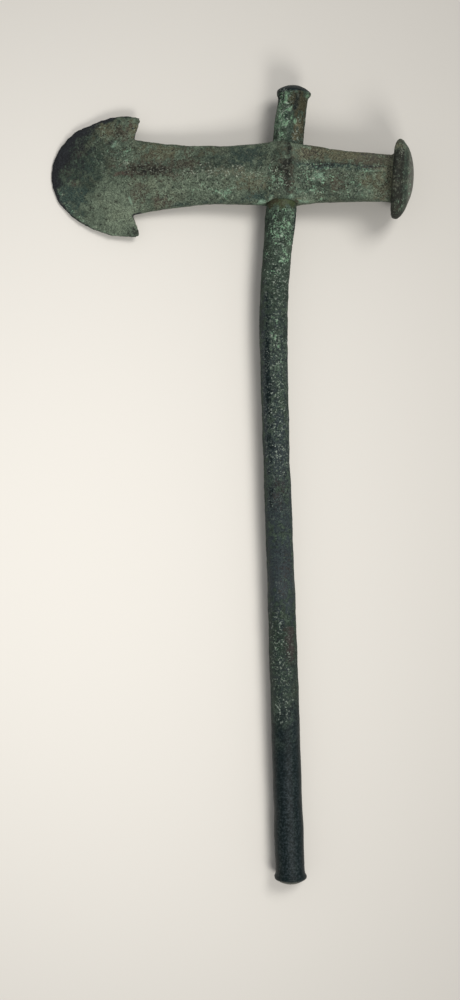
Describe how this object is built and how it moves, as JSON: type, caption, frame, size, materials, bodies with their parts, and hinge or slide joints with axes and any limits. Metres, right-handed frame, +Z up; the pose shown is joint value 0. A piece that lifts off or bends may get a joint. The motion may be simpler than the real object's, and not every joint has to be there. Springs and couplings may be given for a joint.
{
  "type": "copper axe",
  "caption": "Ancient shaft-hole axe: barbed round blade, ridged neck and mushroom butt cast as one head, on a long, slightly bent round rod of a handle with domed ends.",
  "frame": {"origin": "centre of the lying axe's outline, on the surface that it lies on", "axes": "+Y along the handle from its foot towards the head, +X along the head from blade to butt, +Z up"},
  "size_m": [0.219, 0.4806, 0.0472],
  "materials": {
    "head_copper": "matt grey-green patina with brown patches, dark along the cutting edge",
    "handle_copper": "dark green-black patina with pale green specks, satin towards the foot"
  },
  "bodies": {
    "root": {"axe_head": "head_copper", "handle": "handle_copper"}
  },
  "joints": []
}
